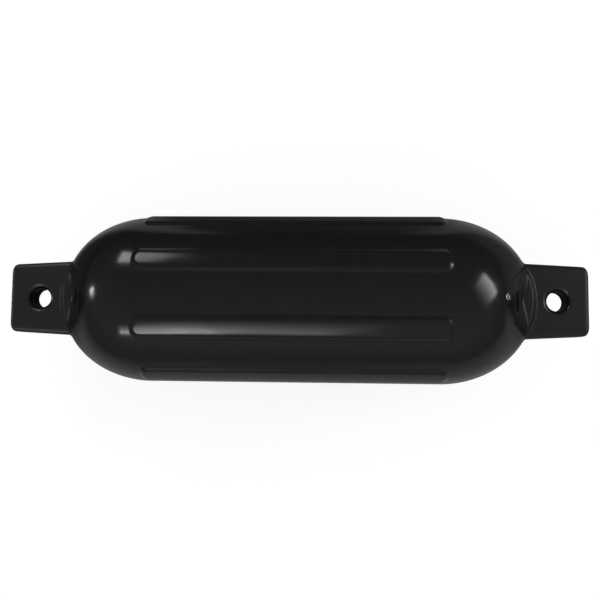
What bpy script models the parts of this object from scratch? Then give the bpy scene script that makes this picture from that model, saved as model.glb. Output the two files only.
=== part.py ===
"""Ribbed inflatable boat fender with a flat eye tab at each end.

The body is blown vinyl: one cylinder with a rounded dome at each end, eight raised ribs along its sides and
a solid tab drawn out of each dome. The tabs lie in the XY plane and the body's long axis is X. The inflation
valve sits in the dome at the +X end, on the side that faces up.
"""

import math

import bmesh
import bpy
from mathutils import Matrix, Vector

# Body, in metres
BODY_RADIUS = 0.0801
STRAIGHT_LENGTH = 0.2776
DOME_DEPTH = 0.0785
DOME_DRAW = 0.0125  # how much further the dome reaches in the tabs' plane
BODY_SIDES = 72
DOME_RINGS = 12

# Ribs
RIB_COUNT = 8
RIB_WIDTH = 0.0243
RIB_HEIGHT = 0.0024
RIB_OVERRUN = 0.0052  # how far a rib runs past the straight part at each end
RIB_END_LENGTH = 0.0088  # of its round end, which is blunter than a half circle
RIB_EDGE = 0.0019
RIB_END_STEPS = 10

# Eye tabs
TAB_REACH = 0.0497  # from the tip of the drawn-out dome to the tab's end
TAB_THICKNESS = 0.026
TAB_END_WIDTH = 0.066
TAB_ROOT_WIDTH = 0.0725
TAB_CORNER = 0.0065
TAB_CORNER_STEPS = 5
TAB_EDGE = 0.0034

# Root boss, the thicker lens of vinyl where a tab leaves its dome
ROOT_THICKNESS = 0.038
ROOT_WIDTH = 0.068
ROOT_LIP = 0.0008  # how far its outline stands outside the dome's own curve
ROOT_BEVEL = 0.0052
ROOT_STEPS = 16

# Rope eye
EYE_DIAMETER = 0.0185
EYE_INSET = 0.030  # from the tab's end to the eye's centre
EYE_FLARE = 0.0050
EYE_ROLL = math.radians(70)  # how far a mouth has rolled over where it meets the tab's face
EYE_SIDES = 32

# Inflation valve
VALVE_ANGLE = math.radians(46.3)  # round the dome's profile, from the long axis
VALVE_SIDES = 28
POCKET_DEPTH = 0.0105
DISH_RADIUS = 0.0052
DISH_DEPTH = 0.0011
FLANGE_RADIUS = 0.0031
FLANGE_THICKNESS = 0.0009
FLANGE_HOLE = 0.0011
SLEEVE_RADIUS = 0.0025
SLEEVE_WALL = 0.0006
CORE_TOP_GAP = 0.0004
NEEDLE_RADIUS = 0.0005
SEAT_GAP = 0.0003

# Finish
VINYL_COLOUR = (0.016, 0.016, 0.017, 1.0)
PLATED_COLOUR = (0.75, 0.75, 0.73, 1.0)
RUBBER_COLOUR = (0.02, 0.02, 0.02, 1.0)

MERGE = 0.00001
PAST = 0.004  # how far a cutter or a joined shape runs past what it must cross
EDGE_ANGLE = math.radians(50)  # an edge that turns by more than this is rounded


def clear_scene():
    for old in list(bpy.data.objects):
        bpy.data.objects.remove(old, do_unlink=True)


def new_collection(name):
    made = bpy.data.collections.new(name)
    bpy.context.scene.collection.children.link(made)
    return made


def material(name, colour, roughness, metallic=0.0):
    made = bpy.data.materials.new(name)
    made.use_nodes = True
    shader = made.node_tree.nodes["Principled BSDF"]
    shader.inputs["Base Color"].default_value = colour
    shader.inputs["Roughness"].default_value = roughness
    shader.inputs["Metallic"].default_value = metallic
    made.diffuse_color = colour
    return made


def add(mesh, name, collection):
    made = bpy.data.objects.new(name, mesh)
    collection.objects.link(made)
    return made


def hide(helper):
    """Marks an object as a tool for the Booleans, not a part."""
    helper.hide_render = True
    helper.display_type = "WIRE"
    return helper


def baked(source, name, collection):
    """A plain mesh of an object as its modifiers or its curve make it, in place of that object."""
    graph = bpy.context.evaluated_depsgraph_get()
    mesh = bpy.data.meshes.new_from_object(source.evaluated_get(graph))
    place = source.matrix_world.copy()
    bpy.data.objects.remove(source, do_unlink=True)
    work = bmesh.new()
    work.from_mesh(mesh)
    bmesh.ops.remove_doubles(work, verts=work.verts, dist=MERGE)
    work.to_mesh(mesh)
    work.free()
    made = add(mesh, name, collection)
    made.matrix_world = place
    return made


def turned(name, profile, sides, collection):
    """A solid turned about Z. The profile is (radius, height) pairs that run down its outer side."""
    mesh = bpy.data.meshes.new(name)
    mesh.from_pydata([(radius, 0.0, height) for radius, height in profile],
                     [(i, i + 1) for i in range(len(profile) - 1)], [])
    made = add(mesh, name, collection)
    screw = made.modifiers.new("turn", "SCREW")
    screw.steps = sides
    screw.render_steps = sides
    screw.use_merge_vertices = True
    screw.merge_threshold = MERGE
    bpy.context.view_layer.update()
    return made


def plate(name, outline, thickness, collection):
    """A flat outline in XY with its thickness centred on Z = 0."""
    curve = bpy.data.curves.new(name, "CURVE")
    curve.dimensions = "2D"
    curve.fill_mode = "BOTH"
    curve.extrude = thickness / 2
    line = curve.splines.new("POLY")
    line.points.add(len(outline) - 1)
    for point, (x, y) in zip(line.points, outline):
        point.co = (x, y, 0.0, 1.0)
    line.use_cyclic_u = True
    made = add(curve, name, collection)
    bpy.context.view_layer.update()
    made = baked(made, name, collection)
    # The filled faces come as triangles, which a bevel would follow.
    work = bmesh.new()
    work.from_mesh(made.data)
    bmesh.ops.dissolve_limit(work, angle_limit=math.radians(1), verts=work.verts, edges=work.edges)
    work.to_mesh(made.data)
    work.free()
    return made


def bevelled(piece, width, segments):
    bevel = piece.modifiers.new("soften", "BEVEL")
    bevel.width = width
    bevel.segments = segments
    bevel.limit_method = "ANGLE"
    bevel.angle_limit = EDGE_ANGLE
    bpy.context.view_layer.update()
    return baked(piece, piece.name, piece.users_collection[0])


def boolean(piece, operation, other):
    cut = piece.modifiers.new(operation.lower() + "_" + other.name, "BOOLEAN")
    cut.operation = operation
    cut.solver = "EXACT"
    if isinstance(other, bpy.types.Collection):
        cut.operand_type = "COLLECTION"
        cut.collection = other
    else:
        cut.object = other
    return cut


def arc(centre, radius, start, stop, steps):
    """Points round part of a circle, both ends included."""
    return [(centre[0] + radius * math.cos(start + (stop - start) * i / steps),
             centre[1] + radius * math.sin(start + (stop - start) * i / steps))
            for i in range(steps + 1)]


def lying():
    """Lays a shape turned about Z along X, with a flat along its top and its bottom, as a soft body lies."""
    half_side = Matrix.Rotation(math.pi / BODY_SIDES, 4, "Z")
    return Matrix.Rotation(math.pi / 2, 4, "Y") @ half_side


def shell(collection):
    """The cylinder and its two domes, turned about X and then drawn out towards the tabs."""
    half = STRAIGHT_LENGTH / 2
    dome = [(BODY_RADIUS * math.sin(i * math.pi / 2 / DOME_RINGS),
             half + DOME_DEPTH * math.cos(i * math.pi / 2 / DOME_RINGS)) for i in range(DOME_RINGS + 1)]
    profile = dome + [(radius, -height) for radius, height in reversed(dome)]
    made = turned("shell", profile, BODY_SIDES, collection)
    made = baked(made, "shell", collection)
    made.data.transform(lying())
    for vertex in made.data.vertices:
        x, y, z = vertex.co
        out = abs(x) - half
        away = y * y + z * z
        if out > MERGE and away > MERGE ** 2:
            vertex.co.x += math.copysign(DOME_DRAW * out / DOME_DEPTH * y * y / away, x)
    return made


def rib_outline():
    """Two long sides with a half ellipse at each end."""
    straight = STRAIGHT_LENGTH / 2 + RIB_OVERRUN - RIB_END_LENGTH
    turns = [math.pi * (i / RIB_END_STEPS - 0.5) for i in range(RIB_END_STEPS + 1)]
    end = [(straight + RIB_END_LENGTH * math.cos(turn), RIB_WIDTH / 2 * math.sin(turn)) for turn in turns]
    return end + [(-x, -y) for x, y in end]


def rib_pads(collection):
    """Raised pads with blunt round ends, evenly spaced, with the tabs' plane midway between two of them."""
    top = BODY_RADIUS + RIB_HEIGHT
    foot = BODY_RADIUS - RIB_WIDTH / 2
    pad = plate("rib_pad", rib_outline(), 2 * top, collection)
    pad.data.transform(Matrix.Translation((0.0, 0.0, foot + top)))
    past = STRAIGHT_LENGTH / 2 + RIB_OVERRUN + PAST
    round_top = turned("rib_top", [(0.0, past), (top, past), (top, -past), (0.0, -past)], BODY_SIDES, collection)
    round_top = baked(round_top, "rib_top", collection)
    round_top.data.transform(lying())
    hide(round_top)
    boolean(pad, "INTERSECT", round_top)
    bpy.context.view_layer.update()
    pad = baked(pad, "rib_pad", collection)
    pad = bevelled(pad, RIB_EDGE, 2)
    bpy.data.objects.remove(round_top, do_unlink=True)
    for i in range(RIB_COUNT):
        copy = add(pad.data, f"rib_{i + 1}", collection)
        copy.matrix_world = Matrix.Rotation((i + 0.5) * 2 * math.pi / RIB_COUNT, 4, "X")
        hide(copy)
    bpy.data.objects.remove(pad, do_unlink=True)


def tab_end():
    return STRAIGHT_LENGTH / 2 + DOME_DEPTH + DOME_DRAW + TAB_REACH


def tab(collection):
    """The flat tab at the +X end, wider where it leaves the dome, with rounded corners and edges."""
    half = STRAIGHT_LENGTH / 2
    root = half + (DOME_DEPTH + DOME_DRAW) * math.sqrt(1 - (TAB_ROOT_WIDTH / 2 / BODY_RADIUS) ** 2)
    buried = half + DOME_DEPTH / 4
    end = tab_end()
    corner = (end - TAB_CORNER, TAB_END_WIDTH / 2 - TAB_CORNER)
    upper = arc(corner, TAB_CORNER, 0.0, math.pi / 2, TAB_CORNER_STEPS)
    upper += [(root, TAB_ROOT_WIDTH / 2), (buried, TAB_ROOT_WIDTH / 2)]
    outline = [(x, -y) for x, y in reversed(upper)] + upper
    made = plate("tab", outline, TAB_THICKNESS, collection)
    return bevelled(made, TAB_EDGE, 3)


def root_boss(collection):
    """The thicker lens at the tab's root. Its outer edge follows the dome's own curve in plan."""
    half = STRAIGHT_LENGTH / 2
    reach = DOME_DEPTH + DOME_DRAW + ROOT_LIP
    spread = math.asin(ROOT_WIDTH / 2 / (BODY_RADIUS + ROOT_LIP))
    outline = []
    for i in range(ROOT_STEPS + 1):
        turn = spread * (2 * i / ROOT_STEPS - 1)
        outline.append((half + reach * math.cos(turn), (BODY_RADIUS + ROOT_LIP) * math.sin(turn)))
    buried = half + DOME_DEPTH / 3
    outline += [(buried, ROOT_WIDTH / 2), (buried, -ROOT_WIDTH / 2)]
    made = plate("root_boss", outline, ROOT_THICKNESS, collection)
    return bevelled(made, ROOT_BEVEL, 3)


def eye_cutter(collection):
    """A round eye whose mouths roll over into the tab's faces."""
    radius = EYE_DIAMETER / 2
    # The roll stops short of a quarter turn, so that it meets the face at a clear angle.
    rolls = arc((0.0, 0.0), EYE_FLARE, 0.0, math.pi / 2, 6)
    centre = TAB_THICKNESS / 2 - EYE_FLARE * math.sin(EYE_ROLL)
    mouth = [(radius + EYE_FLARE - across, centre + up) for across, up in reversed(rolls)]
    top = TAB_THICKNESS / 2 + PAST
    side = [(0.0, top), (mouth[0][0], top)] + mouth
    profile = side + [(r, -z) for r, z in reversed(side)]
    made = turned("eye", profile, EYE_SIDES, collection)
    return baked(made, "eye", collection)


def both_ends(piece, place, collection):
    """Hidden copies of a piece at the +X and the -X end, with its own X pointing outwards."""
    for name, turn in (("right", 0.0), ("left", math.pi)):
        copy = add(piece.data, f"{piece.name}_{name}", collection)
        copy.matrix_world = Matrix.Rotation(turn, 4, "Z") @ Matrix.Translation(place)
        hide(copy)
    bpy.data.objects.remove(piece, do_unlink=True)


def valve_frame():
    """The valve's place on the dome, with its Z along the dome's outward normal."""
    seat = Vector((STRAIGHT_LENGTH / 2 + DOME_DEPTH * math.cos(VALVE_ANGLE), 0.0, BODY_RADIUS * math.sin(VALVE_ANGLE)))
    normal = Vector((math.cos(VALVE_ANGLE) / DOME_DEPTH, 0.0, math.sin(VALVE_ANGLE) / BODY_RADIUS))
    return Matrix.Translation(seat) @ normal.to_track_quat("Z", "Y").to_matrix().to_4x4()


def pocket_cutter(collection):
    """A shallow dish with a bore for the valve's sleeve below it."""
    bore = SLEEVE_RADIUS + SEAT_GAP
    profile = [(0.0, PAST), (DISH_RADIUS + PAST, PAST), (FLANGE_RADIUS + SEAT_GAP, -DISH_DEPTH),
               (bore, -DISH_DEPTH), (bore, -POCKET_DEPTH), (0.0, -POCKET_DEPTH)]
    made = turned("valve_pocket", profile, VALVE_SIDES, collection)
    made = baked(made, "valve_pocket", collection)
    made.matrix_world = valve_frame()
    return hide(made)


def valve_ferrule(collection, finish):
    """A plated eyelet: a flange with a rolled lip, and a sleeve that goes down into the dome's wall."""
    under = -DISH_DEPTH + SEAT_GAP
    top = under + FLANGE_THICKNESS
    lip = FLANGE_THICKNESS / 2
    foot = -POCKET_DEPTH + SEAT_GAP
    inner = SLEEVE_RADIUS - SLEEVE_WALL
    outer_lip = arc((FLANGE_RADIUS - lip, top - lip), lip, math.pi / 2, -math.pi / 2, 6)
    inner_lip = arc((FLANGE_HOLE + lip, top - lip), lip, math.pi * 3 / 2, math.pi / 2, 6)
    profile = outer_lip + [(SLEEVE_RADIUS, under), (SLEEVE_RADIUS, foot), (inner, foot), (inner, under)] + inner_lip
    made = turned("valve_ferrule", profile + profile[:1], VALVE_SIDES, collection)
    made = baked(made, "valve_ferrule", collection)
    made.matrix_world = valve_frame()
    made.data.materials.append(finish)
    return made


def valve_core(collection, finish):
    """The rubber plug inside the ferrule, with the blind hole that takes an inflation needle."""
    top = -DISH_DEPTH + SEAT_GAP - CORE_TOP_GAP
    foot = -POCKET_DEPTH + SEAT_GAP
    outer = SLEEVE_RADIUS - SLEEVE_WALL - SEAT_GAP
    hole_foot = foot + SLEEVE_RADIUS
    funnel = NEEDLE_RADIUS * 2
    profile = [(0.0, hole_foot), (NEEDLE_RADIUS, hole_foot), (NEEDLE_RADIUS, top - funnel), (funnel, top), (outer, top),
               (outer, foot), (0.0, foot)]
    made = turned("valve_core", profile, VALVE_SIDES, collection)
    made = baked(made, "valve_core", collection)
    made.matrix_world = valve_frame()
    made.data.materials.append(finish)
    return made


def fender_body(collection, tools, finish):
    """The one-piece body: shell, ribs, root bosses and tabs joined, then the eyes and the valve's pocket cut."""
    joined = bpy.data.collections.new("joined_shapes")
    eyes = bpy.data.collections.new("eye_cutters")
    tools.children.link(joined)
    tools.children.link(eyes)
    body = shell(collection)
    body.name = "fender_body"
    body.data.name = "fender_body"
    rib_pads(joined)
    both_ends(tab(tools), (0.0, 0.0, 0.0), joined)
    both_ends(root_boss(tools), (0.0, 0.0, 0.0), joined)
    both_ends(eye_cutter(tools), (tab_end() - EYE_INSET, 0.0, 0.0), eyes)
    boolean(body, "UNION", joined)
    boolean(body, "DIFFERENCE", eyes)
    boolean(body, "DIFFERENCE", pocket_cutter(tools))
    body.data.materials.append(finish)
    return body


def main():
    clear_scene()
    parts = new_collection("boat_fender")
    tools = new_collection("cutters")
    vinyl = material("black_vinyl", VINYL_COLOUR, 0.24)
    plated = material("plated_metal", PLATED_COLOUR, 0.25, 1.0)
    rubber = material("black_rubber", RUBBER_COLOUR, 0.6)
    pieces = [fender_body(parts, tools, vinyl), valve_ferrule(parts, plated), valve_core(parts, rubber)]
    for piece in pieces:
        piece.data.shade_smooth()
        piece.data.set_sharp_from_angle(angle=math.radians(35))


main()
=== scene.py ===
# %% [markdown]
# This script dresses a ribbed inflatable boat fender. The solid model of it is loaded first as a fixed frame:
# it gives the overall length, the box that the dressed fender has to fill and the body that each piece belongs
# to. The fine surfaces are then made by the same rules as the solids, with a few edges softer and some of the
# ribs' walls wider, and the frame's own solids step back behind them.

# %% Load the frame
import math

import bmesh
import bpy
from mathutils import Matrix, Quaternion, Vector


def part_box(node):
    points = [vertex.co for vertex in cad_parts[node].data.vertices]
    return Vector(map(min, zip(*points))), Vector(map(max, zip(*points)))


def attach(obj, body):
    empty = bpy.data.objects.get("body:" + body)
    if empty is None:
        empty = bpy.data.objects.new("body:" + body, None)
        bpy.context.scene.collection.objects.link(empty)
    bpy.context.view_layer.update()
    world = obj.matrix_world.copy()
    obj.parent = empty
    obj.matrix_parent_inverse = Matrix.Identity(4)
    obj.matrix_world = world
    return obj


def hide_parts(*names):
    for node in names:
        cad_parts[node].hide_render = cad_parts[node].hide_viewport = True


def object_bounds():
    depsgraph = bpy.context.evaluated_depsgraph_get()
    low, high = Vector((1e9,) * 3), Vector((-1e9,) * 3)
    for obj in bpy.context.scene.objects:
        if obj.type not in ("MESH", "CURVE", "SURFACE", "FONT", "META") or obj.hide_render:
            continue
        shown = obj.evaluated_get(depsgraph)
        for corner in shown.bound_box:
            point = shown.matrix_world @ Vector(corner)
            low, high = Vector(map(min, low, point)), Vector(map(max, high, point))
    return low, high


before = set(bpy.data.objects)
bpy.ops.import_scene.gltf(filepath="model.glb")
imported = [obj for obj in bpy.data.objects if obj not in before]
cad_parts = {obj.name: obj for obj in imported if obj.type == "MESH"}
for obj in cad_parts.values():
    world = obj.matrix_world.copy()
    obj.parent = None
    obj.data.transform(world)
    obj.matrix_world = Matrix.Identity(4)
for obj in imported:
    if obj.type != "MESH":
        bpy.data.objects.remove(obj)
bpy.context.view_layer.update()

# %% [markdown]
# A blow-moulded fender follows a few rules: a straight cylinder, a dome at each end that is drawn out a
# little towards its tab, ribs at even steps round the body, and a flat tab with a round eye. The sizes of
# those rules are named here once, in metres. The overall length comes from the frame, so both models agree.

# %% Sizes of the moulding
BODY_RADIUS = 0.0801
STRAIGHT_LENGTH = 0.2776
DOME_DEPTH = 0.0785
DOME_DRAW = 0.0125
RIB_COUNT = 8
RIB_WIDTH = 0.0243
RIB_HEIGHT = 0.0024
RIB_OVERRUN = 0.0052
RIB_END_LENGTH = 0.0088
TAB_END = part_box("fender_body")[1].x
TAB_THICKNESS = 0.026
TAB_END_WIDTH = 0.066
TAB_ROOT_WIDTH = 0.0725
TAB_CORNER = 0.0065
TAB_EDGE = 0.0048
ROOT_THICKNESS = 0.038
ROOT_LIP = 0.0008
EYE_DIAMETER = 0.0185
EYE_INSET = 0.030
EYE_FLARE = 0.0062
print("overall length in metres:", round(2 * TAB_END, 4))

# %% [markdown]
# Both the shape and the finish below are written as sums. In Blender a sum is a chain of Math nodes, which is
# slow to read, so one small class wraps a socket and gives it Python's own operators. The same class works in
# a geometry tree and in a material, because both use the same Math node. Its `add` method makes any other
# node from its type, its settings and what goes into its sockets.

# %% Sums made of nodes


class Term:
    """A value inside a node tree that Python's operators can work on."""

    def __init__(self, tree, socket):
        self.tree = tree
        self.socket = socket

    def add(self, kind, settings, sockets, out=0):
        return make_node(self.tree, kind, settings, sockets, out)

    def math(self, operation, *others, swap=False):
        values = [self, *others]
        if swap:
            values.reverse()
        return self.add("ShaderNodeMath", {"operation": operation}, dict(enumerate(values)))

    def __add__(self, other):
        return self.math("ADD", other)

    def __radd__(self, other):
        return self.math("ADD", other)

    def __sub__(self, other):
        return self.math("SUBTRACT", other)

    def __rsub__(self, other):
        return self.math("SUBTRACT", other, swap=True)

    def __mul__(self, other):
        return self.math("MULTIPLY", other)

    def __rmul__(self, other):
        return self.math("MULTIPLY", other)

    def __truediv__(self, other):
        return self.math("DIVIDE", other)

    def __rtruediv__(self, other):
        return self.math("DIVIDE", other, swap=True)

    def __abs__(self):
        return self.math("ABSOLUTE")

    def at_least(self, low):
        return self.math("MAXIMUM", low)

    def at_most(self, high):
        return self.math("MINIMUM", high)

    def root(self):
        return self.at_least(0.0).math("SQRT")

    def below(self, limit):
        """1 where the value is under the limit, 0 elsewhere."""
        return self.math("LESS_THAN", limit)

    def ramp(self, start, stop, low=0.0, high=1.0, kind="LINEAR"):
        """Goes from low to high between start and stop, and stays level outside them."""
        sockets = {0: self, 1: start, 2: stop, 3: low, 4: high}
        return self.add("ShaderNodeMapRange", {"interpolation_type": kind, "clamp": True}, sockets)


def make_node(tree, kind, settings, sockets, out=0):
    """A new node, with its settings made first and then its sockets filled with values or links."""
    node = tree.nodes.new(kind)
    for name, value in settings.items():
        setattr(node, name, value)
    for key, value in sockets.items():
        if isinstance(value, Term):
            tree.links.new(value.socket, node.inputs[key])
        else:
            node.inputs[key].default_value = value
    return Term(tree, node.outputs[out])


# %% [markdown]
# The body is one moulding, so it is one skin. A flat grid is wrapped round the long axis: its first direction
# runs along the fender and its second direction runs round it. The rows are packed closely where the form
# turns quickly, at the ribs' ends, at the tabs' roots and at the tabs' ends, and widely where nothing happens.
# The same is done round the body, where the ribs' side walls need the most columns. Each list gives a zone's
# width and the number of steps in it. The rows' zones are lengths from the middle to one end, and the columns'
# are shares of the step from one rib to the next. The last few rows all stay at the tab's end and run in to
# the axis, which closes it.

# %% Where the rows and columns of the skin lie
DOME_TIP = STRAIGHT_LENGTH / 2 + DOME_DEPTH + DOME_DRAW
RIB_REACH = STRAIGHT_LENGTH / 2 + RIB_OVERRUN
PAST_RIB = 0.0025
RIB_END_ZONE = 0.0200
DOME_ZONE = 0.0530
PAST_DOME = 0.0025
TAB_END_ZONE = 0.0070
ROW_ZONES = [
    (RIB_REACH + PAST_RIB - RIB_END_ZONE, 8),
    (RIB_END_ZONE, 28),
    (DOME_ZONE, 20),
    (DOME_TIP + PAST_DOME - RIB_REACH - PAST_RIB - DOME_ZONE, 46),
    (TAB_END - DOME_TIP - PAST_DOME - TAB_END_ZONE, 8),
    (TAB_END_ZONE, 18),
]
CAP_ROWS = 5
COLUMN_ZONES = [(0.22, 3), (0.14, 13), (0.20, 5), (0.18, 15), (0.26, 4)]
HALF_ROWS = sum(steps for _, steps in ROW_ZONES) + CAP_ROWS
SECTOR_COLUMNS = sum(steps for _, steps in COLUMN_ZONES)
print("skin rows:", 2 * HALF_ROWS, "columns:", RIB_COUNT * SECTOR_COLUMNS)


def zoned(step, zones):
    """Turns a step number into a distance, zone by zone."""
    total = None
    first = 0
    for width, steps in zones:
        part = step.ramp(float(first), float(first + steps), 0.0, width)
        total = part if total is None else total + part
        first += steps
    return total


# %% [markdown]
# At each place along the axis the skin stands some distance from it. The dome gives one distance, the tab
# gives another, and the larger of the two wins, with a small fillet where they meet. The tab's section is a
# rectangle with round corners, seen from its middle. The thicker lens at its root is the tab's own face,
# raised inside an outline that follows the dome's curve in plan. The lens's height depends on where its
# outline runs, and the outline on the height, so the sum is done a few times over.
#
# A rib raises the skin inside a long outline with round ends. The mould opens up and down, so a rib on the
# flank needs more draft than one near the top: its outer wall is wide and runs out into the body. Each side of
# a rib is given by two lengths: how far its foot lies from the rib's middle, and how wide the wall above it
# is. The inner side is the one towards the top or the bottom, and the outer side is towards the tabs' plane.

# %% The rule of the skin
TOP_RIB = {"inner": (0.0126, 0.0040), "outer": (0.0118, 0.0053)}
FLANK_RIB = {"inner": (0.0171, 0.0044), "outer": (0.0147, 0.0088)}
RIB_END_WALL = 0.0060
RIB_CRISPNESS = 0.75
FLANK_LOSS = 0.04
FILLET = 0.0040
LENS_TOP = 0.930
LENS_SIDE = (math.sin(math.radians(19)), math.sin(math.radians(40)))
LENS_PASSES = 3
LOW_SINE = 0.02
NEARLY_ZERO = 0.0001


def rounding(past, radius):
    """How far a round edge has dropped at a distance past its start."""
    return radius - (radius * radius - past * past).root()


def dome_distance(x, cosine, size):
    """Distance of the cylinder and its dome from the axis. The dome reaches further in the tabs' plane."""
    reach = size["Dome Depth"] + size["Dome Draw"] * cosine * cosine
    share = ((x - size["Straight Length"] / 2).at_least(0.0) / reach).at_most(1.0)
    return size["Body Radius"] * (1.0 - share * share).root()


def rib_side(flank, which):
    """Where a rib's foot lies on one side, and how wide the wall above it is."""
    return [top + flank * (low - top) for top, low in zip(TOP_RIB[which], FLANK_RIB[which])]


def rib_height(x, across, flank, size):
    """Height of a rib above the body, from the distance inside its outline, which ends in half ellipses."""
    half = size["Rib Width"] / 2
    end = size["Rib End Length"]
    past = (x - (size["Straight Length"] / 2 + size["Rib Overrun"] - end)).at_least(0.0) * half / end
    on_outer = across.math("GREATER_THAN", 0.0)
    sides = zip(rib_side(flank, "inner"), rib_side(flank, "outer"))
    foot, wall = (inner + on_outer * (outer - inner) for inner, outer in sides)
    across = across * half / foot
    wall = wall * half / foot
    inside = half - (past * past + across * across).root()
    wall = wall + (RIB_END_WALL * half / end - wall) * (past / half).at_most(1.0)
    slope = (inside / wall).ramp(0.0, 1.0)
    rise = slope * RIB_CRISPNESS + slope.ramp(0.0, 1.0, kind="SMOOTHSTEP") * (1.0 - RIB_CRISPNESS)
    return size["Rib Height"] * (1.0 - flank * FLANK_LOSS) * rise


def tab_distance(x, cosine, sine, size):
    """Distance of the tab and of the lens at its root from the axis, in one direction round it."""
    edge = size["Tab Edge"]
    end = size["Tab End"]
    root = size["Straight Length"] / 2 + size["Dome Depth"]
    width = x.ramp(root, end, size["Tab Root Width"] / 2, size["Tab End Width"] / 2)
    width = width - rounding((x - end + size["Tab Corner"]).at_least(0.0), size["Tab Corner"])
    face = size["Tab Thickness"] / 2 - rounding((x - end + edge).at_least(0.0), edge)
    lift = (size["Root Thickness"] - size["Tab Thickness"]) / 2 * sine.ramp(*LENS_SIDE, kind="SMOOTHSTEP")
    along = (x - size["Straight Length"] / 2) / (size["Dome Depth"] + size["Dome Draw"] + ROOT_LIP)
    height = face + lift
    for _ in range(LENS_PASSES):
        aside = height * cosine / sine.at_least(LOW_SINE) / (size["Body Radius"] + ROOT_LIP)
        outline = (along * along + aside * aside).root()
        height = face + lift * outline.ramp(LENS_TOP, 1.0, 1.0, 0.0, kind="SMOOTHSTEP")
    by_face = height / sine.at_least(NEARLY_ZERO)
    by_side = width / cosine.at_least(NEARLY_ZERO)
    corner_y = width - edge
    corner_z = height - edge
    middle = corner_y * cosine + corner_z * sine
    by_corner = middle + (middle * middle - corner_y * corner_y - corner_z * corner_z + edge * edge).root()
    on_face = (by_face * cosine).below(corner_y)
    on_side = (by_side * sine).below(corner_z)
    return by_corner + on_face * (by_face - by_corner) + on_side * (by_side - by_corner)


def filleted(first, second, width):
    """The larger of two distances, with a fillet where they cross."""
    near = (width - abs(first - second)).at_least(0.0)
    return first.at_least(second) + near * near / width / 4


# %% [markdown]
# Geometry Nodes suit this piece, because its whole form follows from a handful of sizes. The tree takes those
# sizes as named inputs, moves each point of the grid to its place on the skin, and welds the seam and the two
# poles. Changing one input here would give a longer or a fatter fender; the modifier that runs the tree is
# removed once its mesh is made. From one quarter turn to the next the columns are counted the other way round,
# so that every rib has its outer side towards the tabs' plane.

# %% The skin's tree
SKIN_SIZES = {
    "Body Radius": BODY_RADIUS,
    "Straight Length": STRAIGHT_LENGTH,
    "Dome Depth": DOME_DEPTH,
    "Dome Draw": DOME_DRAW,
    "Rib Width": RIB_WIDTH,
    "Rib Height": RIB_HEIGHT,
    "Rib Overrun": RIB_OVERRUN,
    "Rib End Length": RIB_END_LENGTH,
    "Tab End": TAB_END,
    "Tab Thickness": TAB_THICKNESS,
    "Tab End Width": TAB_END_WIDTH,
    "Tab Root Width": TAB_ROOT_WIDTH,
    "Tab Corner": TAB_CORNER,
    "Tab Edge": TAB_EDGE,
    "Root Thickness": ROOT_THICKNESS,
}
WELD = 0.00001


def skin_tree():
    tree = bpy.data.node_groups.new("fender skin", "GeometryNodeTree")
    for name in SKIN_SIZES:
        tree.interface.new_socket(name, in_out="INPUT", socket_type="NodeSocketFloat")
    tree.interface.new_socket("Rib Count", in_out="INPUT", socket_type="NodeSocketInt")
    tree.interface.new_socket("Vinyl", in_out="INPUT", socket_type="NodeSocketMaterial")
    tree.interface.new_socket("Mesh", in_out="OUTPUT", socket_type="NodeSocketGeometry")
    group = tree.nodes.new("NodeGroupInput")
    size = {socket.name: Term(tree, socket) for socket in group.outputs if socket.name}
    ribs = size["Rib Count"]

    columns = ribs * SECTOR_COLUMNS + 1
    grid_sockets = {"Size X": 2.0, "Size Y": 1.0, "Vertices X": 2 * HALF_ROWS + 1, "Vertices Y": columns}
    grid = make_node(tree, "GeometryNodeMeshGrid", {}, grid_sockets)
    place = make_node(tree, "GeometryNodeInputPosition", {}, {})
    along, around = (make_node(tree, "ShaderNodeSeparateXYZ", {}, {0: place}, out) for out in (0, 1))

    row = abs(along) * HALF_ROWS
    x = zoned(row, ROW_ZONES).at_most(size["Tab End"])
    sector = (around + 0.5) * ribs
    whole = (sector + WELD).math("FLOOR")
    sector_turn = 2 * math.pi / ribs
    middle = (whole + 0.5) * sector_turn
    outward = (middle * 2).math("SINE").below(0.0)
    flank = abs(middle.math("COSINE")).math("GREATER_THAN", math.sqrt(0.5))
    step = (sector - whole) * SECTOR_COLUMNS
    share = zoned(SECTOR_COLUMNS - step + outward * (2 * step - SECTOR_COLUMNS), COLUMN_ZONES)
    angle = (whole + 1.0 - share + outward * (2 * share - 1.0)) * sector_turn
    across = (share - 0.5) * sector_turn * size["Body Radius"]
    cosine = angle.math("COSINE")
    sine = angle.math("SINE")

    body = dome_distance(x, cosine, size) + rib_height(x, across, flank, size)
    tab = tab_distance(x, abs(cosine), abs(sine), size)
    cap = row.ramp(float(HALF_ROWS - CAP_ROWS), float(HALF_ROWS), 1.0, 0.0)
    distance = filleted(body, tab, FILLET) * cap
    signed = x * along.math("SIGN")
    point = make_node(tree, "ShaderNodeCombineXYZ", {}, {0: signed, 1: distance * cosine, 2: distance * sine})
    skin = make_node(tree, "GeometryNodeSetPosition", {}, {"Geometry": grid, "Position": point})
    skin = make_node(tree, "GeometryNodeMergeByDistance", {}, {"Geometry": skin, "Distance": WELD})
    skin = make_node(tree, "GeometryNodeFlipFaces", {}, {"Mesh": skin})
    skin = make_node(tree, "GeometryNodeSetShadeSmooth", {}, {"Geometry": skin})
    skin = make_node(tree, "GeometryNodeRealizeInstances", {}, {"Geometry": skin})
    skin = make_node(tree, "GeometryNodeSetMaterial", {}, {"Geometry": skin, "Material": size["Vinyl"]})
    tree.links.new(skin.socket, tree.nodes.new("NodeGroupOutput").inputs[0])
    return tree


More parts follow.
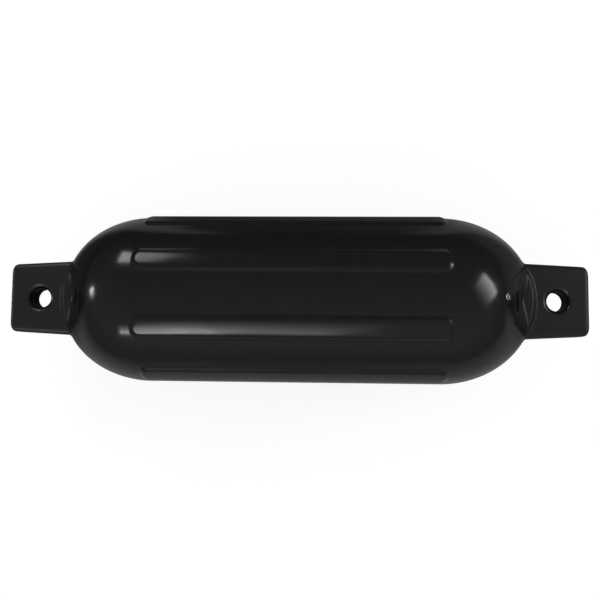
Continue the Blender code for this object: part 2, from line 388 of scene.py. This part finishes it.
def from_tree(name, tree, inputs):
    """An empty mesh dressed by a geometry tree, then made plain, with the modifier gone."""
    source = bpy.data.objects.new(name + "_source", bpy.data.meshes.new(name + "_source"))
    bpy.context.scene.collection.objects.link(source)
    modifier = source.modifiers.new(name, "NODES")
    modifier.node_group = tree
    for socket in tree.interface.items_tree:
        if socket.in_out == "INPUT":
            modifier[socket.identifier] = inputs[socket.name]
    mesh = bpy.data.meshes.new_from_object(source.evaluated_get(bpy.context.evaluated_depsgraph_get()))
    bpy.data.objects.remove(source)
    made = bpy.data.objects.new(name, mesh)
    mesh.name = name
    bpy.context.scene.collection.objects.link(made)
    return made


# %% [markdown]
# The eyes and the valve's pocket go through the skin, so they are cut from it afterwards. Each cutter is a
# turned shape. The eye's mouths roll over into the tab's faces, as a moulded hole does for the sake of the
# line that runs through it.

# %% Turned shapes


def arc(centre, radius, start, stop, steps):
    """Points round part of a circle, as (distance from the axis, height) pairs."""
    turns = [start + (stop - start) * i / steps for i in range(steps + 1)]
    return [(centre[0] + radius * math.cos(turn), centre[1] + radius * math.sin(turn)) for turn in turns]


def turned(name, profile, sides):
    """A closed solid turned about Z from a profile that runs down its outer side."""
    mesh = bpy.data.meshes.new(name)
    mesh.from_pydata([(r, 0.0, z) for r, z in profile], [(i, i + 1) for i in range(len(profile) - 1)], [])
    work = bmesh.new()
    work.from_mesh(mesh)
    steps = {"cent": (0, 0, 0), "axis": (0, 0, 1), "dvec": (0, 0, 0), "angle": 2 * math.pi, "steps": sides}
    bmesh.ops.spin(work, geom=work.verts[:] + work.edges[:], **steps)
    bmesh.ops.remove_doubles(work, verts=work.verts, dist=WELD / 2)
    bmesh.ops.recalc_face_normals(work, faces=work.faces)
    work.to_mesh(mesh)
    work.free()
    made = bpy.data.objects.new(name, mesh)
    bpy.context.scene.collection.objects.link(made)
    return made


EYE_ROLL = math.radians(76)
PAST_FACE = math.radians(8)
ARC_STEPS = 12
EYE_SIDES = 96


def eye_cutter():
    radius = EYE_DIAMETER / 2
    centre = TAB_THICKNESS / 2 - EYE_FLARE * math.sin(EYE_ROLL)
    rolls = arc((0.0, 0.0), EYE_FLARE, 0.0, EYE_ROLL + PAST_FACE, ARC_STEPS)
    mouth = [(radius + EYE_FLARE - across, centre + up) for across, up in reversed(rolls)]
    side = [(0.0, TAB_THICKNESS), (mouth[0][0], TAB_THICKNESS)] + mouth
    return turned("eye_cutter", side + [(r, -z) for r, z in reversed(side)], EYE_SIDES)


# %% [markdown]
# The inflation valve sits in the dome on the upper side, square to the surface. Its frame is worked out from
# the dome's own rule: a point round the dome's profile, and the direction that stands square on it there. A
# gap of a tenth of a millimetre or two is left round each of its pieces, so that none of them touch.

# %% The valve's place
VALVE_ANGLE = math.radians(46.3)
VALVE_SIDES = 64
DISH_RADIUS = 0.0052
DISH_DEPTH = 0.0011
FLANGE_RADIUS = 0.0031
FLANGE_THICKNESS = 0.0009
FLANGE_HOLE = 0.0011
SLEEVE_RADIUS = 0.0025
SLEEVE_WALL = 0.0006
POCKET_DEPTH = 0.0105
NEEDLE_RADIUS = 0.0004
SEAT_GAP = 0.0001


def valve_place():
    across, up = DOME_DEPTH * math.cos(VALVE_ANGLE), BODY_RADIUS * math.sin(VALVE_ANGLE)
    normal = Vector((math.cos(VALVE_ANGLE) / DOME_DEPTH, 0.0, math.sin(VALVE_ANGLE) / BODY_RADIUS))
    turn = normal.to_track_quat("Z", "Y").to_matrix().to_4x4()
    return Matrix.Translation((STRAIGHT_LENGTH / 2 + across, 0.0, up)) @ turn


def pocket_cutter():
    bore = SLEEVE_RADIUS + SEAT_GAP
    slope = DISH_DEPTH / (DISH_RADIUS - FLANGE_RADIUS - SEAT_GAP)
    rim = DISH_RADIUS + DISH_DEPTH / slope
    profile = [(0.0, DISH_DEPTH), (rim, DISH_DEPTH), (FLANGE_RADIUS + SEAT_GAP, -DISH_DEPTH),
               (bore, -DISH_DEPTH), (bore, -POCKET_DEPTH), (0.0, -POCKET_DEPTH)]
    made = turned("pocket_cutter", profile, VALVE_SIDES)
    made.data.transform(valve_place())
    made.data.materials.append(vinyl)
    return made


# %% [markdown]
# A Boolean modifier takes the cutters away. The flat faces beside an eye must stay flat in the light, so the
# rim where the mouth's roll meets them is marked sharp, and so is the edge of the valve's dish.

# %% Cut the skin


def cut(body, cutters):
    for cutter in cutters:
        modifier = body.modifiers.new(cutter.name, "BOOLEAN")
        modifier.operation = "DIFFERENCE"
        modifier.solver = "MANIFOLD"
        modifier.object = cutter
    mesh = bpy.data.meshes.new_from_object(body.evaluated_get(bpy.context.evaluated_depsgraph_get()))
    body.modifiers.clear()
    body.data = mesh
    for cutter in cutters:
        bpy.data.objects.remove(cutter)


def sharpen(body, places, angle):
    """Marks the edges within reach of each place as sharp where they turn by more than the angle."""
    work = bmesh.new()
    work.from_mesh(body.data)
    marked = 0
    for edge in work.edges:
        middle = (edge.verts[0].co + edge.verts[1].co) / 2
        if len(edge.link_faces) == 2 and edge.calc_face_angle() > angle:
            if any((middle - Vector(place)).length < reach for place, reach in places):
                edge.smooth = False
                marked += 1
    work.to_mesh(body.data)
    work.free()
    return marked


# %% [markdown]
# The vinyl is black all through and glossy where the mould was polished, on the body. Two things keep it from
# looking like a computer's black: the wall of a blown skin waves very slightly, which bends the edge of every
# reflection, and its surface has a fine peel like an orange's. The solid tabs come from a plainer part of the
# mould: they shine less and look a little paler, all but the insides of the eyes. A few specks of dust lie on
# the body.

# %% Black vinyl
DARK_VINYL = (0.0052, 0.0052, 0.0054, 1.0)
PALE_VINYL = (0.0070, 0.0070, 0.0072, 1.0)
NOISE_SPAN = (0.3, 0.7)
DUST_TONE = (0.16, 0.16, 0.155, 1.0)
DUST_EDGE = (0.016, 0.022)
DUST_COVER = 0.7
TAB_HAZE = 0.03
POLISHED = 0.13
CLOUD_ROUGHNESS = 0.04
TAB_ROUGHNESS = 0.25
DUST_ROUGHNESS = 0.3
WAVE_HEIGHT = 0.00030
PEEL_HEIGHT = 0.0000010
TAB_PEEL = 9.0
PLAIN_ZONE = (DOME_TIP - 0.016, DOME_TIP - 0.008)
EYE_ZONE = (EYE_DIAMETER / 2 + 0.002, EYE_DIAMETER / 2 + 0.004)


def vinyl_material():
    made = bpy.data.materials.new("black_vinyl")
    made.use_nodes = True
    tree = made.node_tree
    shader = tree.nodes["Principled BSDF"]
    place = make_node(tree, "ShaderNodeTexCoord", {}, {}, out=3)
    along, aside = (make_node(tree, "ShaderNodeSeparateXYZ", {}, {0: place}, out) for out in (0, 1))
    wave = make_node(tree, "ShaderNodeTexNoise", {}, {"Vector": place, "Scale": 22.0, "Detail": 1.0})
    cloud = make_node(tree, "ShaderNodeTexNoise", {}, {"Vector": place, "Scale": 60.0, "Detail": 3.0})
    peel = make_node(tree, "ShaderNodeTexNoise", {}, {"Vector": place, "Scale": 700.0, "Detail": 2.0})
    dust = make_node(tree, "ShaderNodeTexVoronoi", {}, {"Vector": place, "Scale": 46.0})
    past_dome = abs(along).ramp(*PLAIN_ZONE, kind="SMOOTHSTEP")
    speck = dust.ramp(*DUST_EDGE, 1.0, 0.0) * (1.0 - past_dome)
    shade = cloud.ramp(*NOISE_SPAN)
    from_eye = abs(along) - (TAB_END - EYE_INSET)
    from_eye = (from_eye * from_eye + aside * aside).root()
    tab = past_dome * from_eye.ramp(*EYE_ZONE)
    tones = {0: shade, 6: DARK_VINYL, 7: PALE_VINYL}
    colour = make_node(tree, "ShaderNodeMix", {"data_type": "RGBA"}, tones, out=2)
    tones = {0: speck * DUST_COVER + tab * TAB_HAZE, 6: colour, 7: DUST_TONE}
    colour = make_node(tree, "ShaderNodeMix", {"data_type": "RGBA"}, tones, out=2)
    rough = POLISHED + shade * CLOUD_ROUGHNESS + tab * TAB_ROUGHNESS + speck * DUST_ROUGHNESS
    height = wave * WAVE_HEIGHT * (1.0 - tab) + peel * PEEL_HEIGHT * (1.0 + tab * TAB_PEEL)
    bump = make_node(tree, "ShaderNodeBump", {}, {"Strength": 1.0, "Distance": 1.0, "Height": height})
    tree.links.new(colour.socket, shader.inputs["Base Color"])
    tree.links.new(rough.socket, shader.inputs["Roughness"])
    tree.links.new(bump.socket, shader.inputs["Normal"])
    shader.inputs["IOR"].default_value = 1.5
    shader.inputs["Specular IOR Level"].default_value = 0.375
    return made


vinyl = vinyl_material()

# %% [markdown]
# Now the body can be made: the tree runs once, its result becomes a plain mesh, and the cutters open it.

# %% Make the body
SPARE_REACH = 0.001
RIM_TURN = math.radians(9)
DISH_TURN = math.radians(25)

body = from_tree("vinyl_body", skin_tree(), {**SKIN_SIZES, "Rib Count": RIB_COUNT, "Vinyl": vinyl})
eye_centres = [(side * (TAB_END - EYE_INSET), 0.0, 0.0) for side in (-1, 1)]
eyes = []
for centre in eye_centres:
    eye = eye_cutter()
    eye.data.materials.append(vinyl)
    eye.data.transform(Matrix.Translation(centre))
    eyes.append(eye)
cut(body, eyes + [pocket_cutter()])
eye_reach = math.hypot(TAB_THICKNESS / 2, EYE_DIAMETER / 2 + EYE_FLARE) + SPARE_REACH
dish_reach = POCKET_DEPTH + 2 * SPARE_REACH
print("rim edges:", sharpen(body, [(centre, eye_reach) for centre in eye_centres], RIM_TURN))
print("dish edges:", sharpen(body, [(valve_place().translation, dish_reach)], DISH_TURN))
print("body triangles:", sum(len(face.vertices) - 2 for face in body.data.polygons))
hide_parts("fender_body")
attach(body, "root")

# %% [markdown]
# The valve is an eyelet of plated metal with a plug of soft rubber inside it. An inflation needle goes
# through the plug, which closes behind it. Metal and rubber that are handled drift a little in tone and
# roughness. The two finishes differ only in their values, so one function makes both.

# %% Plated metal and rubber
METAL_TONES = (0.62, 0.62, 0.60, 1.0), (0.82, 0.82, 0.80, 1.0)
RUBBER_TONES = (0.008, 0.008, 0.008, 1.0), (0.016, 0.016, 0.016, 1.0)
DRIFT_ROUGHNESS = 0.12
DRIFT_HEIGHT = 0.000004


def plain_finish(name, tones, rough, metallic, scale):
    """A finish whose tone and roughness drift a little between a dark and a light one."""
    made = bpy.data.materials.new(name)
    made.use_nodes = True
    tree = made.node_tree
    shader = tree.nodes["Principled BSDF"]
    place = make_node(tree, "ShaderNodeTexCoord", {}, {}, out=3)
    drift = make_node(tree, "ShaderNodeTexNoise", {}, {"Vector": place, "Scale": scale, "Detail": 3.0})
    share = drift.ramp(*NOISE_SPAN)
    dark, light = tones
    colour = make_node(tree, "ShaderNodeMix", {"data_type": "RGBA"}, {0: share, 6: dark, 7: light}, out=2)
    roughness = rough + share * DRIFT_ROUGHNESS
    height = drift * DRIFT_HEIGHT
    bump = make_node(tree, "ShaderNodeBump", {}, {"Strength": 1.0, "Distance": 1.0, "Height": height})
    tree.links.new(colour.socket, shader.inputs["Base Color"])
    tree.links.new(roughness.socket, shader.inputs["Roughness"])
    tree.links.new(bump.socket, shader.inputs["Normal"])
    shader.inputs["Metallic"].default_value = metallic
    return made


plated = plain_finish("plated_metal", METAL_TONES, rough=0.16, metallic=1.0, scale=900.0)
rubber = plain_finish("valve_rubber", RUBBER_TONES, rough=0.55, metallic=0.0, scale=1500.0)

# %% [markdown]
# The eyelet has a flange with round lips and a sleeve with a thin wall. The plug fills the sleeve, and its hole
# for the needle opens in a small funnel. Both could be put together from cylinders and rings, but each is
# turned from one profile, because a profile gives the lips and the funnel their round section at once.

# %% The valve's two pieces
LIP_TURN = math.radians(40)


def ferrule_profile():
    under = SEAT_GAP - DISH_DEPTH
    top = under + FLANGE_THICKNESS
    lip = FLANGE_THICKNESS / 2
    foot = SEAT_GAP - POCKET_DEPTH
    inner = SLEEVE_RADIUS - SLEEVE_WALL
    outer_lip = arc((FLANGE_RADIUS - lip, top - lip), lip, math.pi / 2, -math.pi / 2, ARC_STEPS)
    inner_lip = arc((FLANGE_HOLE + lip, top - lip), lip, math.pi * 3 / 2, math.pi / 2, ARC_STEPS)
    sleeve = [(SLEEVE_RADIUS, under), (SLEEVE_RADIUS, foot), (inner, foot), (inner, under)]
    return outer_lip + sleeve + inner_lip


def core_profile():
    top = -DISH_DEPTH - SEAT_GAP
    foot = 2 * SEAT_GAP - POCKET_DEPTH
    outer = SLEEVE_RADIUS - SLEEVE_WALL - SEAT_GAP
    funnel = NEEDLE_RADIUS * 1.5
    mouth = arc((NEEDLE_RADIUS + funnel, top - funnel), funnel, math.pi, math.pi / 2, ARC_STEPS // 2)
    hole = [(0.0, foot + SLEEVE_RADIUS), (NEEDLE_RADIUS, foot + SLEEVE_RADIUS)]
    return hole + mouth + [(outer, top), (outer, foot), (0.0, foot)]


def valve_piece(name, profile, finish, node):
    made = turned(name, profile, VALVE_SIDES)
    made.data.transform(valve_place())
    made.data.materials.append(finish)
    made.data.shade_smooth()
    made.data.set_sharp_from_angle(angle=LIP_TURN)
    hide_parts(node)
    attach(made, "root")
    return made


ring = ferrule_profile()
valve_piece("valve_eyelet", ring + ring[:1], plated, "valve_ferrule")
valve_piece("valve_plug", core_profile(), rubber, "valve_core")

# %% [markdown]
# The fender lies on a pale sheet, which takes its soft shadow. To the camera the sheet and the room beyond it
# look white. What the vinyl mirrors is a dimmer room, paler in front than at the back, as over a table where
# black glossy goods are photographed: this is what keeps the vinyl black.
#
# The sheet's look in the vinyl is painted: for mirrored rays only, it glows in some zones and is blackened in
# others. It is pale in front and beside the domes, a painted reflection which draws their bright edges, dark
# behind, and darkest under the tabs, a painted shadow of the tabs where hardly any light gets in. Dark and pale
# cards laid on a real sheet would do the same, but the camera would see them, so here the sheet's material
# tells the mirrored rays from the camera's. Each zone's numbers say where it starts and stops, in metres from
# the fender's middle, and then, where there are four, the two levels it goes between.

# %% Sheet and room
SHEET = (2.4, 2.0)
SHEET_TONE = 0.35
SHEET_GLOW = 0.80
WHITE_FAR_OFF = (0.35, 0.95)
# The glow that the sheet shows to mirrored rays only: a painted reflection.
SHEET_PAINTED_GLOW = 0.14
BEHIND = (-0.2, 0.5, 0.12, 0.42)
FRONT = (-0.03, -0.14)
FRONT_LEFT = (-0.9, -0.4, 0.45, 1.0)
FAR_FRONT = (-0.25, -0.7)
FAR_FRONT_LEFT = (0.25, 0.05)
FAR_FRONT_LOSS = 0.45
# Beside the domes the painted reflection is pale, which draws their bright edges.
DOMES_START = (0.14, 0.21)
DOMES_STOP = (0.33, 0.25)
DOMES_ASIDE = (0.03, 0.09, 0.3, 1.0)
DOMES_PAINTED_LEVEL = 0.85
# The painted shadow of the tabs on the mirrored sheet: where it lies and how deep it is.
UNDER_TABS = (0.200, 0.220)
UNDER_TABS_ASIDE = (0.045, 0.030)
TAB_PAINTED_SHADOW_DEPTH = 0.85
ROOM_LEVEL = 0.42
MIRRORED_LEVEL = 0.31
MIRRORED_SLOPE = -0.53
HORIZON = (0.0, 0.4, 0.5, 1.0)


def light_path(tree, *kinds):
    """1 on any of the named kinds of ray."""
    path = tree.nodes.new("ShaderNodeLightPath")
    total = None
    for kind in kinds:
        one = Term(tree, path.outputs[kind])
        total = one if total is None else total + one
    return total.at_most(1.0)


def painted_sheet_reflection(x, y):
    """The painted reflection of the sheet: how pale it looks in the vinyl, from 0 to 1, at a place on it."""
    smooth = {"kind": "SMOOTHSTEP"}
    behind = x.ramp(*BEHIND)
    front = y.ramp(*FRONT, **smooth) * x.ramp(*FRONT_LEFT)
    front = front * (1.0 - FAR_FRONT_LOSS * y.ramp(*FAR_FRONT) * x.ramp(*FAR_FRONT_LEFT))
    domes = abs(x).ramp(*DOMES_START, **smooth) * abs(x).ramp(*DOMES_STOP, **smooth)
    domes = domes * abs(y).ramp(*DOMES_ASIDE, **smooth)
    paler = behind + (1.0 - behind) * front.at_least(domes * DOMES_PAINTED_LEVEL)
    # A painted shadow of the tabs, darkening the mirrored sheet beneath them.
    painted_tab_shadow = abs(x).ramp(*UNDER_TABS, **smooth) * abs(y).ramp(*UNDER_TABS_ASIDE, **smooth)
    return paler * (1.0 - TAB_PAINTED_SHADOW_DEPTH * painted_tab_shadow)


def sheet_material():
    made = bpy.data.materials.new("white_sheet")
    made.use_nodes = True
    tree = made.node_tree
    tree.nodes.clear()
    lit = make_node(tree, "ShaderNodeBsdfDiffuse", {}, {"Color": (SHEET_TONE, SHEET_TONE, SHEET_TONE, 1.0)})
    # A black stand-in for the sheet, seen only by mirrored rays: painted shade.
    dark = make_node(tree, "ShaderNodeBsdfDiffuse", {}, {"Color": (0.0, 0.0, 0.0, 1.0)})
    place = make_node(tree, "ShaderNodeTexCoord", {}, {}, out=3)
    x, y = (make_node(tree, "ShaderNodeSeparateXYZ", {}, {0: place}, out) for out in (0, 1))
    away = make_node(tree, "ShaderNodeVectorMath", {"operation": "LENGTH"}, {0: place}, out=1)
    white = SHEET_GLOW + away.ramp(*WHITE_FAR_OFF, kind="SMOOTHSTEP") * (1.0 - SHEET_GLOW)
    seen = light_path(tree, "Is Camera Ray", "Is Transmission Ray")
    gloss = light_path(tree, "Is Glossy Ray")
    paler = painted_sheet_reflection(x, y)
    # Camera and transmission rays see the white sheet; mirrored rays see a painted glow in the pale zones.
    strength = seen * white + gloss * SHEET_PAINTED_GLOW * paler
    glow = make_node(tree, "ShaderNodeEmission", {}, {"Color": (1.0, 1.0, 1.0, 1.0), "Strength": strength})
    # To mirrored rays the lit sheet is swapped for black where the painted reflection is dark: painted shade.
    lit = make_node(tree, "ShaderNodeMixShader", {}, {0: gloss * (1.0 - paler), 1: lit, 2: dark})
    both = make_node(tree, "ShaderNodeAddShader", {}, {0: lit, 1: glow})
    tree.links.new(both.socket, tree.nodes.new("ShaderNodeOutputMaterial").inputs[0])
    return made


def sheet():
    mesh = bpy.data.meshes.new("white_sheet")
    work = bmesh.new()
    bmesh.ops.create_grid(work, x_segments=1, y_segments=1, size=0.5)
    bmesh.ops.scale(work, vec=(*SHEET, 1.0), verts=work.verts)
    bmesh.ops.translate(work, vec=(0.0, 0.0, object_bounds()[0].z), verts=work.verts)
    work.to_mesh(mesh)
    work.free()
    mesh.materials.append(sheet_material())
    made = bpy.data.objects.new("white_sheet", mesh)
    bpy.context.scene.collection.objects.link(made)


def room():
    world = bpy.data.worlds.new("dim_room")
    bpy.context.scene.world = world
    world.use_nodes = True
    tree = world.node_tree
    back = tree.nodes["Background"]
    way = make_node(tree, "ShaderNodeTexCoord", {}, {}, out=0)
    back_wall, height = (make_node(tree, "ShaderNodeSeparateXYZ", {}, {0: way}, out) for out in (1, 2))
    mirrored = MIRRORED_LEVEL * (1.0 + back_wall * MIRRORED_SLOPE) * height.ramp(*HORIZON)
    white = light_path(tree, "Is Camera Ray", "Is Transmission Ray")
    gloss = light_path(tree, "Is Glossy Ray")
    strength = ROOM_LEVEL + white * (1.0 - ROOM_LEVEL) + gloss * (mirrored - ROOM_LEVEL)
    back.inputs["Color"].default_value = (1.0, 1.0, 1.0, 1.0)
    tree.links.new(strength.socket, back.inputs["Strength"])


sheet()
room()

# %% [markdown]
# Glossy black shows its lights as shapes, so each softbox is placed where its reflection falls on the fender:
# a long pair in front, which draws the bright line under the middle, a narrow one behind on the left, for the
# patch at the upper rib's end, and one past each end for the patches on the domes. Each is given by its
# direction and distance from the fender's middle, by its size, by how far it leans and by how brightly it
# glows. Its cloth is brightest along one edge and fades towards the opposite one, the faster the larger its
# last number is.

# %% Lights
WATTS_PER_GLOW = 4.0


def softbox(name, azimuth, elevation, distance, size, lean, glow, fade):
    lamp = bpy.data.lights.new(name, "AREA")
    lamp.shape = "RECTANGLE"
    lamp.size, lamp.size_y = size
    lamp.energy = glow * size[0] * size[1] * WATTS_PER_GLOW
    lamp.use_nodes = True
    tree = lamp.node_tree
    across = make_node(tree, "ShaderNodeNewGeometry", {}, {}, out=5)
    height = make_node(tree, "ShaderNodeSeparateXYZ", {}, {0: across}, out=1)
    tree.links.new((1.0 - height).math("POWER", fade).socket, tree.nodes["Emission"].inputs["Strength"])
    out = Matrix.Rotation(math.radians(azimuth), 4, "Z") @ Matrix.Rotation(-math.radians(elevation), 4, "Y")
    out = out @ Vector((1.0, 0.0, 0.0))
    made = bpy.data.objects.new(name, lamp)
    made.location = out * distance
    made.rotation_mode = "QUATERNION"
    made.rotation_quaternion = out.to_track_quat("Z", "Y") @ Quaternion((0.0, 0.0, 1.0), math.radians(lean))
    bpy.context.scene.collection.objects.link(made)


softbox("front_left", -123.8, 41.9, 2.4, (1.13, 0.70), 35.0, 12.6, 4.0)
softbox("front_middle", -99.1, 54.7, 2.4, (0.87, 1.07), -12.0, 3.3, 3.0)
softbox("back_left", 126.0, 31.9, 0.9, (0.20, 0.36), 47.0, 5.4, 0.2)
softbox("right_end", 8.2, 31.2, 1.2, (0.50, 0.62), 35.0, 7.3, 2.3)
softbox("left_end", 176.8, 10.3, 2.06, (0.24, 0.40), -56.0, 18.0, 2.2)

# %% [markdown]
# The camera looks almost straight down from a little in front, so both the ribs' ends and the tabs' thickness
# stay readable. Its place and turn match the perspective of the reference view, with no lens shift.

# %% Camera
CAMERA_PLACE = (0.0394, -0.0574, 0.7221)
CAMERA_TURN = (2.764, 4.571, 0.639)
LENS = 44.42


def camera():
    data = bpy.data.cameras.new("camera")
    data.lens = LENS
    data.sensor_width = 36.0
    made = bpy.data.objects.new("camera", data)
    yaw, pitch, roll = (math.radians(turn) for turn in CAMERA_TURN)
    turn = Matrix.Rotation(yaw, 4, "Y") @ Matrix.Rotation(pitch, 4, "X") @ Matrix.Rotation(roll, 4, "Z")
    made.matrix_world = Matrix.Translation(CAMERA_PLACE) @ turn
    bpy.context.scene.collection.objects.link(made)
    bpy.context.scene.camera = made


camera()
bpy.context.scene.view_settings.view_transform = "Standard"
